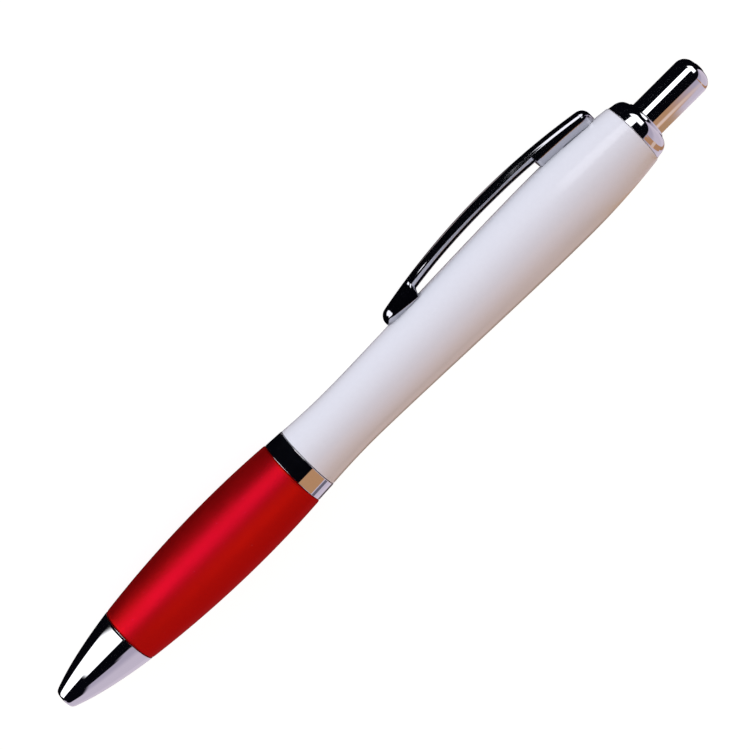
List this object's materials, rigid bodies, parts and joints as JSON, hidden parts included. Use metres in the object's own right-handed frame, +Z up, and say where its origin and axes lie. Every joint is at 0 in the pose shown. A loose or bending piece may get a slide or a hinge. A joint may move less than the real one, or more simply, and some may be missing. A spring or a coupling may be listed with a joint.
{
  "type": "retractable ballpoint pen",
  "caption": "Retractable ballpoint pen with a soft grip, a waisted barrel, a sprung pocket clip and a push button that drives a ratchet cam to move the refill in and out of the nozzle.",
  "frame": {"origin": "on the table, under the middle of the pen's box, with the pen lying on its side as it comes to rest: on the barrel and on the edge of the clip", "axes": "+X along the pen from the writing end to the push button, +Z up from the table, +Y the side that the clip points to (the clip slopes down to the table by about 31.5 degrees)"},
  "size_m": [0.14, 0.0158, 0.0131],
  "materials": {
    "chrome": "mirror-bright chrome plating",
    "soft_grip": "satin soft-touch red",
    "white_shell": "glossy moulded white",
    "white_core": "plain moulded white",
    "acetal": "natural moulded acetal",
    "black_cam": "moulded black",
    "ink_tube": "milky extruded tube with ink behind it",
    "nickel_silver": "turned nickel silver",
    "carbide": "polished carbide",
    "spring_steel": "bright drawn wire"
  },
  "bodies": {
    "barrel_body": {"upper_barrel": "white_shell", "end_collar": "chrome", "guide_sleeve": "acetal"},
    "clip_body": {"clip": "chrome"},
    "button_body": {"push_button": "chrome", "plunger": "acetal"},
    "refill_body": {"cam_rotor": "black_cam", "refill_tube": "ink_tube", "tip_holder": "acetal", "ball_point": "nickel_silver"},
    "ball_body": {"writing_ball": "carbide"},
    "band_body": {"centre_band": "chrome"},
    "front_body": {"front_barrel": "white_core", "grip_sleeve": "soft_grip", "nozzle": "chrome", "return_spring": "spring_steel"}
  },
  "joints": [
    {"name": "button_press", "type": "slide", "parent": "barrel_body", "child": "button_body", "axis": [-1, 0, 0], "range_m": [0, 0.006], "stiffness_N_per_m": 250, "springref_m": -0.004, "deforming": ["return_spring"]},
    {"name": "refill_advance", "type": "slide", "parent": "barrel_body", "child": "refill_body", "axis": [-1, 0, 0], "range_m": [0, 0.006]},
    {"name": "ball_roll", "type": "hinge", "parent": "refill_body", "child": "ball_body", "pos_m": [-0.0679, -0.00134, 0.00657], "axis": [0, -0.523, -0.8523], "continuous": true},
    {"name": "clip_flex", "type": "hinge", "parent": "barrel_body", "child": "clip_body", "pos_m": [0.05145, 0.00378, 0.00343], "axis": [0, -0.523, -0.8523], "range_deg": [0, 3], "stiffness_Nm_per_rad": 2},
    {"name": "front_travel", "type": "slide", "parent": "barrel_body", "child": "band_body", "axis": [-1, 0, 0], "range_m": [0, 0.00501]},
    {"name": "front_unscrew", "type": "hinge", "parent": "band_body", "child": "front_body", "pos_m": [-0.0159, -0.00134, 0.00657], "axis": [-1, 0, 0], "range_deg": [0, 1800]}
  ],
  "couplings": [
    {"joint": "refill_advance", "follows": "button_press", "ratio": 1},
    {"joint": "front_travel", "follows": "front_unscrew", "m_per_rad": 0.00015915}
  ]
}
